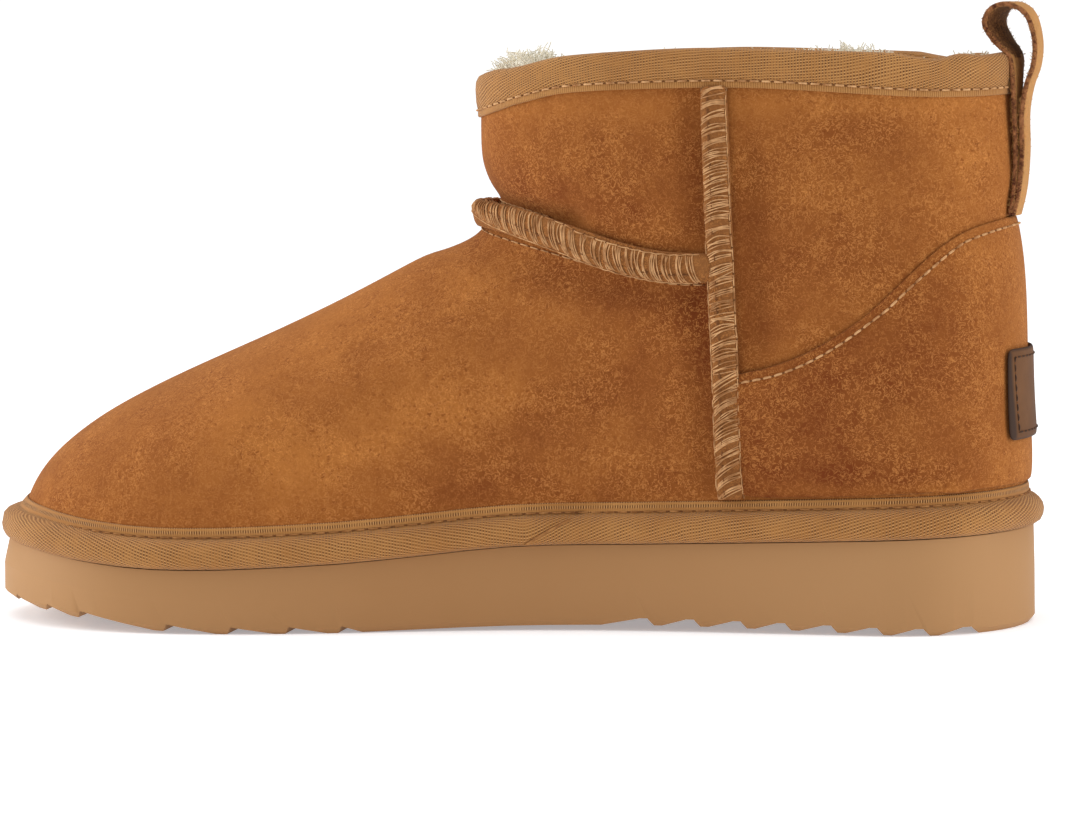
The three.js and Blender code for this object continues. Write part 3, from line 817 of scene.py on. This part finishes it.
# Collar tape: height of its top and of its lower edge on the boot's side, and slant of its ribs in degrees
COLLAR_TOP = {
    -9: 136.8, -4.5: 139.2, 1: 140.4, 6.8: 141.0, 19: 143.4, 31.5: 144.4, 54: 145.2, 71: 144.8,
    87: 144.1, 103: 143.4, 109: 142.3, 114: 141.7, 119.5: 142.9, 124: 142.4, 131: 143.3,
}
COLLAR_LOW = {
    -9: 127.9, -4.5: 128.4, 1: 129.8, 6.8: 131.5, 19: 134.1, 31.5: 135.0, 54: 135.4, 71: 135.1,
    87: 134.1, 103: 132.9, 109: 132.5, 114: 132.3, 119.5: 132.3, 124: 132.4, 131: 132.8,
}
COLLAR_SLANT = {
    -9: 14, -4.5: 15, 1: 16, 6.8: 15, 19: 12, 31.5: 8, 54: 4, 71: 5, 87: 8, 103: 15, 109: 18, 114: 21,
    119.5: 24, 124: 26, 131: 28,
}
# Section of the folded tape: out from the face of the upper, with the height over the tape's lower edge,
# then with the depth under its top for the fold, then back down to the lower edge
COLLAR_FRONT = [(0.1, 0.0), (0.6, 0.0), (0.85, 0.35), (0.85, 1.3), (0.7, 1.75), (0.95, 2.3), (1.25, 3.8)]
COLLAR_FOLD = [
    (1.4, 3.4), (1.25, 1.6), (0.7, 0.5), (-0.4, 0.0), (-1.9, 0.0), (-3.1, 0.6), (-3.7, 1.8), (-3.8, 4.0),
    (-3.7, 7.0), (-2.8, 7.4), (-1.2, 6.0),
]
COLLAR_CLOSE = [(-0.6, 1.0), (0.2, 0.0)]
COLLAR_HEIGHT = 9.8
COLLAR_COLUMNS = 480
COLLAR_FINE = 3
SELVEDGE_ROWS = 4
SELVEDGE_PITCH = 0.58 * MM
SELVEDGE_SHADE = -0.04
COLLAR_STITCH_OUT = 0.8 * MM
COLLAR_STITCH_RISE = 1.75 * MM
collar_top_at = smooth_table(COLLAR_TOP)
collar_low_at = smooth_table(COLLAR_LOW)
collar_slant_at = smooth_table(COLLAR_SLANT, 1)
collar_trail = around(
    upper_face, lambda x: collar_low_at(x) + 2.5 * MM, 40 * MM, 85 * MM, 0, 1, COLLAR_COLUMNS
)
collar_ribs = rib_sums(collar_trail, lambda place: math.radians(collar_slant_at(place.x)))


def collar_section(low, top):
    """The tape's section between two heights, in mm."""
    rows = [Vector((out, low + rise)) for out, rise in COLLAR_FRONT]
    rows += [Vector((out, top - drop)) for out, drop in COLLAR_FOLD]
    return rows + [Vector((out, low + rise)) for out, rise in COLLAR_CLOSE]


collar_rows = collar_section(0.0, COLLAR_HEIGHT)
collar_reach = [Vector((0.0, 0.0))]
for here, ahead in zip(collar_rows, collar_rows[1:]):
    collar_reach.append(collar_reach[-1] + Vector(((ahead - here).length, 0.0)))


def collar_place(along, over):
    place, out, ahead = collar_trail.at(along * collar_trail.length)
    level = level_out(out, ahead)
    spots = []
    for out, height in collar_section(collar_low_at(place.x) / MM, collar_top_at(place.x) / MM):
        spots.append(place + level * out * MM + Vector((0, 0, height * MM - place.z)))
    return section_at(spots, over)


def collar_rib(along, over, middle):
    far = along * collar_trail.length
    if middle * (len(collar_rows) - 1) < SELVEDGE_ROWS:
        return (far / SELVEDGE_PITCH, SELVEDGE_SHADE)
    return (collar_ribs(along) + section_at(collar_reach, over).x * MM / RIB_PITCH, far / KNOT_PITCH)


def collar_stitch_line():
    """The row of stitches just over the selvedge of the collar tape."""
    spots = []
    for index in range(COLLAR_COLUMNS):
        place, out, ahead = collar_trail.at(collar_trail.length * index / COLLAR_COLUMNS)
        level = level_out(out, ahead)
        height = collar_low_at(place.x) + COLLAR_STITCH_RISE
        spots.append((place + level * COLLAR_STITCH_OUT + Vector((0, 0, height - place.z)), level))
    return Trail(spots, True)


collar_skin = wrapped(COLLAR_COLUMNS, (len(collar_rows) - 1) * COLLAR_FINE, collar_place, collar_rib)
add_piece("collar_tape", collar_skin, twill, ["collar_binding"])
topstitch("collar_topstitch", collar_stitch_line(), 3.0 * MM, 0.64, 0.28 * MM, 0.3 * MM, 0.5 * MM)

# Bead: out from the face of the upper, and height over the sole's top, in mm. The first rows are its flat
# flange, which lies on the suede under a row of stitches.
BEAD_SECTION = [
    (-0.4, 5.0), (-0.2, 10.2), (0.15, 10.6), (0.4, 10.4), (0.6, 9.7), (0.7, 8.9), (0.65, 8.1), (1.3, 7.6),
    (2.5, 7.1), (3.6, 6.2), (4.4, 5.0), (4.7, 3.7), (4.5, 2.3), (3.9, 1.1), (2.8, 0.35), (1.2, 0.1),
    (-0.2, 0.3), (-0.4, 5.0),
]
BEAD_POINTS = 720
BEAD_FINE = 3
BEAD_FOOT = 4.0
BEAD_WAIST = 9.3
FLANGE_ROWS = 6
FLANGE_PITCH = 0.62 * MM
FLANGE_KNOTS = 2.2 * MM
# Slant of the ribs in degrees. They lean back the other way past the lapped joint at the inner waist.
BEAD_SLANT = {-135: -20, -100: -18, -40: -15, 9: -10, 14: 24, 30: 20, 62: 8, 90: 14, 135: 20}
# The bead is fuller round the toe, over the part of its section from low up
BEAD_TOE_FILL = 0.9
BEAD_TOE_FORWARD = 0.6
BEAD_TOE_START = -98
BEAD_TOE_SPAN = 26
TOE_FILL_LOW = 5.0
TOE_FILL_HEIGHT = 5.2
# The joint leans back as it climbs. The end on top makes a step that fades away, with a ridge along it.
LAP_PLACE = 9.2 * MM
LAP_LEAN = 1.86
LAP_STEP = 0.35 * MM
LAP_FADE = 7 * MM
LAP_RIDGE = 0.5 * MM
LAP_REACH = 0.9 * MM
LAP_LOW = 0.7 * MM
LAP_HIGH = 6.6 * MM
LAP_STEPS = 24
GROOVE_RISE = 8.15
GROOVE_OUT = 0.78 * MM
sole_surface = welded("sole")
sole_face = BVHTree.FromBMesh(sole_surface)
sole_surface.free()


def sole_top_at(x):
    x = min(max(x, -132.5 * MM), 132.5 * MM)
    return sole_face.ray_cast(Vector((x, 0.0, 0.1)), Vector((0, 0, -1)))[0].z


def bead_trail(rise):
    """The line round the upper at a height over the sole's top, in mm."""
    return around(upper_face, lambda x: sole_top_at(x) + rise * MM, -75 * MM, 95 * MM, 0, 1, BEAD_POINTS)


bead_foot = bead_trail(BEAD_FOOT)
bead_waist = bead_trail(BEAD_WAIST)
bead_slant_at = smooth_table(BEAD_SLANT, 1)
bead_sums = [0.0]
for here, ahead in zip(bead_foot.points, bead_foot.points[1:]):
    slant = math.radians(bead_slant_at(here.x))
    bead_sums.append(bead_sums[-1] + math.sin(slant) * (ahead - here).length / RIB_PITCH)


def bead_climb(rise):
    """How far a height over the sole's top is from the bead's foot to its waist."""
    return (rise - BEAD_FOOT) / (BEAD_WAIST - BEAD_FOOT)


def bead_place(along, over):
    index = round(along * BEAD_POINTS)
    foot, waist = bead_foot.points[index], bead_waist.points[index]
    ahead = bead_foot.points[(index + 1) % BEAD_POINTS] - bead_foot.points[index - 1 if index else -1]
    level = level_out(bead_foot.outs[index], ahead)
    toe = clamped((BEAD_TOE_START - foot.x / MM) / BEAD_TOE_SPAN)
    spots = []
    for row, (out, rise) in enumerate(BEAD_SECTION):
        place = foot.lerp(waist, bead_climb(rise) if 0 < row <= FLANGE_ROWS else 0.0)
        bulge = max(math.sin(math.pi * (rise - TOE_FILL_LOW) / TOE_FILL_HEIGHT), 0.0) if out > 0.3 else 0.0
        out += toe * (BEAD_TOE_FILL * bulge + (BEAD_TOE_FORWARD if out > 1 else 0.0))
        spots.append(place + level * out * MM + Vector((0, 0, sole_top_at(foot.x) + rise * MM - place.z)))
    spot = section_at(spots, over)
    if spot.y < 0 and 0.33 < over < 0.95:
        lap = spot.x - LAP_PLACE - LAP_LEAN * (spot.z - sole_top_at(spot.x))
        step = LAP_STEP * math.exp(-lap / LAP_FADE) if lap > 0 else 0.0
        spot.y -= step - LAP_RIDGE * math.exp(-(lap / LAP_REACH) ** 2)
    return spot


def bead_rib(along, over, middle):
    index = round(along * BEAD_POINTS)
    far = bead_foot.reached[index]
    rows = len(BEAD_SECTION) - 1
    height = over * rows * 1.15 * MM
    if middle * rows < FLANGE_ROWS + 0.3:
        return (far / FLANGE_PITCH, height / FLANGE_KNOTS)
    return (bead_sums[index] - height / RIB_PITCH, far / KNOT_PITCH)


def groove_line():
    """The stitched groove between the flange and the bead."""
    spots = []
    for index in range(BEAD_POINTS):
        foot, waist = bead_foot.points[index], bead_waist.points[index]
        level = level_out(bead_foot.outs[index], bead_foot.points[(index + 1) % BEAD_POINTS] - foot)
        place = foot.lerp(waist, bead_climb(GROOVE_RISE))
        height = sole_top_at(foot.x) + GROOVE_RISE * MM
        spots.append((place + level * GROOVE_OUT + Vector((0, 0, height - place.z)), level))
    return Trail(spots, True)


def lap_line(shift, lift):
    """A line along the lapped joint of the bead, shift further back and lift out from its face."""
    line = []
    for step in range(LAP_STEPS + 1):
        rise = LAP_LOW + (LAP_HIGH - LAP_LOW) * step / LAP_STEPS
        x = LAP_PLACE + LAP_LEAN * rise + shift
        start = Vector((x, -0.2, sole_top_at(x) + rise))
        place, normal, _, _ = bead_face.ray_cast(start, Vector((0, 1, 0)))
        line.append(place + normal * lift)
    return line


def thread_paint(name, dark, light):
    """Dull thread, a little darker and lighter along its length."""
    mix = Recipe(name, 0.8)
    return mix.finish(mix.blend(mix.spread(mix.cloud(mix.place(), 1.0 * MM), 0.3, 0.7), dark, light))


bead_skin = wrapped(BEAD_POINTS, (len(BEAD_SECTION) - 1) * BEAD_FINE, bead_place, bead_rib)
bead_face = BVHTree.FromBMesh(bead_skin)
add_piece("bead_tape", bead_skin, twill, ["sole_binding"])
groove_brown = thread_paint("groove_thread", srgb(120, 74, 36), srgb(176, 124, 72))
lap_shade = strands([lap_line(0.0, -0.05 * MM)], 0.2 * MM)
lap_edge = strands([lap_line(0.55 * MM, -0.1 * MM)], 0.42 * MM)
add_piece("bead_lap_shade", lap_shade, painted_shade_mark)
add_piece("bead_lap_edge", lap_edge, groove_brown)
topstitch("bead_topstitch", groove_line(), 3.3 * MM, 0.66, 0.26 * MM, 0.16 * MM, 0.9 * MM, groove_brown)

# Pull loop
# A strip of suede, doubled and sewn to the back of the shaft under the counter, its middle left standing
# as a loop. Its edges are cut raw, so the dark brown inside of the leather shows there as a fuzzy line.
# The route is the middle of the strip in x and z, from the foot of its front leg to that of its back leg.
LOOP_ROUTE = [
    (130.3, 102.6), (131.3, 109), (131.7, 118), (131.3, 131), (130.9, 138.5), (129.9, 142.4),
    (126.2, 146.2), (124.0, 150.4), (126.0, 154.1), (130.2, 154.9), (134.5, 152.2), (136.5, 146),
    (136.2, 140), (134.4, 134.6), (133.3, 128), (133.3, 118), (132.5, 109), (131.0, 102.6),
]
LOOP_SECTION = [
    (0.0, 1), (0.5, 1), (0.9, 1), (0.97, 0.9), (1.0, 0.4), (1.0, -0.4), (0.97, -0.9), (0.9, -1), (0.5, -1),
]
LOOP_HALF = 7.5 * MM
LOOP_THICKNESS = 1.25 * MM
HEEL_BEND = 33 * MM
LOOP_STEPS = 150
RAW_EDGE = 0.93
RAW_FUZZ = 0.25 * MM
LOOP_TWIST = 1.9 * MM
TWIST_AT = 0.43
TWIST_REACH = 0.1
LOOP_EYE = Vector((130, 0, 147)) * MM
LOOP_FORK = 141 * MM
FUZZ_HAIRS = 1600


def curve_through(rows, steps):
    """Evenly spaced points on a rounded line through the rows, in the X-Z plane."""
    points = []
    places = [Vector((x, 0, z)) * MM for x, z in rows]
    for index in range(len(places) - 1):
        before, after = places[max(index - 1, 0)], places[min(index + 2, len(places) - 1)]
        points += [rounded(before, places[index], places[index + 1], after, step / 12) for step in range(12)]
    points.append(places[-1])
    line = Trail([(point, Vector((0, -1, 0))) for point in points])
    return [line.at(line.length * step / steps) for step in range(steps + 1)]


loop_line = curve_through(LOOP_ROUTE, LOOP_STEPS)
loop_around = LOOP_SECTION + [(-width, -face) for width, face in LOOP_SECTION] + [LOOP_SECTION[0]]


def loop_place(along, over):
    middle, _, ahead = loop_line[round(along * LOOP_STEPS)]
    width, face = section_at(loop_around, over)
    y = -width * LOOP_HALF
    out = Vector((-ahead.z, 0, ahead.x)) * face * LOOP_THICKNESS / 2
    fuzz = noise.noise(Vector((along * 260, over * 9, 0))) * RAW_FUZZ if abs(width) > 0.95 else 0.0
    twist = (1 + y / LOOP_HALF) * LOOP_TWIST * math.exp(-((along - TWIST_AT) / TWIST_REACH) ** 2)
    x = middle.x + out.x - y * y / (2 * HEEL_BEND) + twist
    return Vector((x, y + math.copysign(fuzz, width), middle.z + out.z))


loop_skin = wrapped(LOOP_STEPS, (len(loop_around) - 1) * 2, loop_place)
for face in loop_skin.faces:
    middle = face.calc_center_median()
    if abs(middle.y) > RAW_EDGE * LOOP_HALF:
        face.material_index = 1
    # Faces high on the loop that look into its eye take the darker suede: painted shade inside the loop
    elif middle.z > LOOP_FORK and face.normal.dot(LOOP_EYE - middle) > 0:
        face.material_index = 2
raw_mix = Recipe("raw_leather_edge", 0.95)
raw_place = raw_mix.place()
raw_tone = raw_mix.spread(raw_mix.cloud(raw_place, 0.7 * MM, 3.0, 0.7), 0.35, 0.68)
raw_colour = raw_mix.blend(raw_tone, srgb(80, 40, 23), srgb(172, 114, 72))
raw_edge = raw_mix.finish(raw_colour, raw_mix.bump(raw_tone, 0.9, 0.4 * MM))
loop_suede = suede_mix("loop_suede", srgb(148, 98, 50), srgb(194, 146, 90))
# A darker copy of the suede: painted shade for the inside of the loop's top
loop_inside_shade = suede_mix("loop_inside_shade", srgb(62, 34, 18), srgb(128, 82, 46))
add_piece("pull_loop_strip", loop_skin, [loop_suede, raw_edge, loop_inside_shade], ["pull_loop"])
random.seed(5)
hairs = []
for _ in range(FUZZ_HAIRS):
    border = random.choice((3, 6, 12, 15)) / (len(loop_around) - 1)
    start = loop_place(random.random(), border)
    lean = Vector((random.uniform(-1, 1), math.copysign(0.5, start.y), random.uniform(-1, 1)))
    bow = Vector((random.uniform(-1, 1), 0, random.uniform(-1, 1))) * 0.15 * MM
    hairs.append([start, start + lean * 0.3 * MM + bow, start + lean * random.uniform(0.3, 0.65) * MM])
add_piece("pull_loop_fuzz", strands(hairs, 0.06 * MM, 0), loop_suede)

# Heel patch
# A small piece of smooth dark leather, sewn round its edge to the back of the counter. Its rim is darker,
# where the cut edge is inked, and its face is left bare.
PATCH_LOW = 46.8 * MM
PATCH_HIGH = 69.8 * MM
PATCH_HALF = 16.4 * MM
PATCH_MARGIN = 2.2 * MM
patch_middle = (PATCH_LOW + PATCH_HIGH) / 2
patch_reach = (PATCH_HIGH - PATCH_LOW) / 2
patch_mix = Recipe("patch_leather", 0.68)
patch_place = patch_mix.place()
patch_spot = patch_mix.node("SeparateXYZ", i0=patch_place)
patch_up = patch_mix.maths("ABSOLUTE", patch_mix.maths("SUBTRACT", patch_spot.outputs[2], patch_middle))
patch_side = patch_mix.maths("ABSOLUTE", patch_spot.outputs[1])
near_top = patch_mix.spread(patch_up, patch_reach - 1.0 * MM, patch_reach - 0.2 * MM)
near_side = patch_mix.spread(patch_side, PATCH_HALF - 1.6 * MM, PATCH_HALF - 0.6 * MM)
patch_rim = patch_mix.maths("MAXIMUM", near_top, near_side)
patch_tone = patch_mix.spread(patch_mix.cloud(patch_place, 5 * MM, 4.0), 0.3, 0.7)
patch_colour = patch_mix.blend(patch_tone, srgb(86, 53, 26), srgb(106, 69, 38))
patch_colour = patch_mix.blend(patch_rim, patch_colour, srgb(58, 39, 28))
patch_grain = patch_mix.cloud(patch_place, 0.8 * MM, 4.0, 0.6)
patch_leather = patch_mix.finish(patch_colour, patch_mix.bump(patch_grain, 0.35, 0.15 * MM))
patch_skin = refined(welded("heel_patch"), 2)
patch_face = BVHTree.FromBMesh(patch_skin)
add_piece("heel_patch_leather", patch_skin, patch_leather, ["heel_patch"])


def patch_stitch_line():
    """A rectangle a little inside the edge of the patch, found by looking at it from behind."""
    side, low, high = PATCH_HALF - PATCH_MARGIN, PATCH_LOW + PATCH_MARGIN, PATCH_HIGH - PATCH_MARGIN
    corners = [(-side, low), (side, low), (side, high), (-side, high)]
    spots = []
    for index, (y, z) in enumerate(corners):
        next_y, next_z = corners[(index + 1) % 4]
        for step in range(30):
            share = step / 30
            eye = Vector((0.2, y + (next_y - y) * share, z + (next_z - z) * share))
            place, normal, _, _ = patch_face.ray_cast(eye, Vector((-1, 0, 0)))
            spots.append((place, normal))
    return Trail(spots, True)


patch_brown = thread_paint("patch_thread", srgb(48, 32, 24), srgb(76, 52, 36))
topstitch("patch_topstitch", patch_stitch_line(), 2.4 * MM, 0.7, 0.22 * MM, 0.15 * MM, 0.4 * MM, patch_brown)

# Fleece
# Wool pile lines the boot from the collar down to the footbed: rounded clumps of pile, with loose locks
# that stand up past the tape.
FLEECE_PALE = srgb(250, 245, 230)
FLEECE_CREAM = srgb(232, 221, 196)
PILE_DEPTH = 4.5 * MM
CLUMP = 4.2 * MM
FOOTBED_PILE = 2.5 * MM
noise.seed_set(4)
fleece_mix = Recipe("wool_fleece", 1.0)
fleece_place = fleece_mix.place()
fleece_tone = fleece_mix.spread(fleece_mix.cloud(fleece_place, 3 * MM, 4.0, 0.65), 0.3, 0.7)
fleece_fine = fleece_mix.cloud(fleece_place, 0.6 * MM, 3.0, 0.7)
fleece_mix.shader.inputs["Sheen Weight"].default_value = 0.4
fleece_colour = fleece_mix.blend(fleece_tone, FLEECE_CREAM, FLEECE_PALE)
fleece = fleece_mix.finish(fleece_colour, fleece_mix.bump(fleece_fine, 0.8, 0.6 * MM))


def clump_height(place):
    """Rounded clumps of pile, from 0 between them to 1 on top."""
    wander = noise.noise_vector(place / (6 * MM)) * 0.35
    nearest = noise.voronoi(place / CLUMP + wander)[0][0]
    return max(1.0 - nearest * nearest * 1.5, 0.0) + 0.25 * noise.noise(place / (1.5 * MM))


def facing_inward(skin):
    """Deletes the faces of a hollow form that look outwards, and keeps the inner wall."""
    whole = BVHTree.FromBMesh(skin)
    skin.normal_update()
    outer = [face for face in skin.faces if not looks_in(whole, face.calc_center_median(), face.normal)]
    bmesh.ops.delete(skin, geom=outer, context="FACES")
    return skin


lining_skin = refined(facing_inward(welded("upper")), 3)
lining_skin.normal_update()
lining_moves = [
    (vert, vert.normal * (0.3 * MM + PILE_DEPTH * (0.45 + 0.55 * clump_height(vert.co))))
    for vert in lining_skin.verts
]
for vert, move in lining_moves:
    vert.co += move
add_piece("fleece_lining", lining_skin, fleece)

# The roll of pile that shows inside the collar, fullest at the front, and its loose locks
RIM_COLUMNS = 300
RIM_ROWS = 18
RIM_RADIUS = 4.2 * MM
RIM_INSET = 4.4 * MM
RIM_DROP = 4.2 * MM
RIM_RISE = {-10: 0.4, -3: 2.4, 3: 2.4, 8: -1.8, 30: -3.6, 78: -3.4, 90: -1.2, 102: -3.4, 131: -3.0}
LOCKS = 5200
LOCK_THREAD = 0.13 * MM
rim_rise_at = smooth_table(RIM_RISE)


def rim_spot(along, over, pile):
    """A place on the roll of pile, out from its surface by pile, and the way out there."""
    place, out, ahead = collar_trail.at(along * collar_trail.length)
    level = level_out(out, ahead)
    middle = place - level * (RIM_INSET + RIM_RADIUS)
    middle.z = collar_top_at(place.x) - RIM_DROP + rim_rise_at(place.x)
    turn = over * math.tau
    away = level * math.cos(turn) + Vector((0, 0, math.sin(turn)))
    rough = clump_height(middle + away * RIM_RADIUS)
    return middle + away * (RIM_RADIUS * (0.72 + 0.42 * rough) + pile), away


rim_skin = wrapped(RIM_COLUMNS, RIM_ROWS, lambda along, over: rim_spot(along, over, 0.0)[0])
add_piece("fleece_rim", rim_skin, fleece)
random.seed(11)
locks = []
for _ in range(LOCKS):
    place, away = rim_spot(random.random(), random.uniform(0.02, 0.55), -0.2 * MM)
    lean = Vector((random.uniform(-1, 1), random.uniform(-1, 1), random.uniform(-0.3, 0.6))) * 0.9
    length = random.uniform(1.2, 2.8) * MM
    curl = Vector((random.uniform(-1, 1), random.uniform(-1, 1), random.uniform(-1, 1))) * 0.9 * MM
    locks.append([
        place + (away + lean * share) * length * share + curl * math.sin(math.pi * share)
        for share in (0, 0.35, 0.7, 1)
    ])
add_piece("fleece_locks", strands(locks, LOCK_THREAD, 0), fleece)

footbed_skin = refined(welded("insole"), 3)
footbed_skin.normal_update()
for vert in footbed_skin.verts:
    if vert.normal.z > 0.5:
        vert.co.z += FOOTBED_PILE * clump_height(vert.co)
add_piece("footbed_fleece", footbed_skin, fleece, ["insole"])
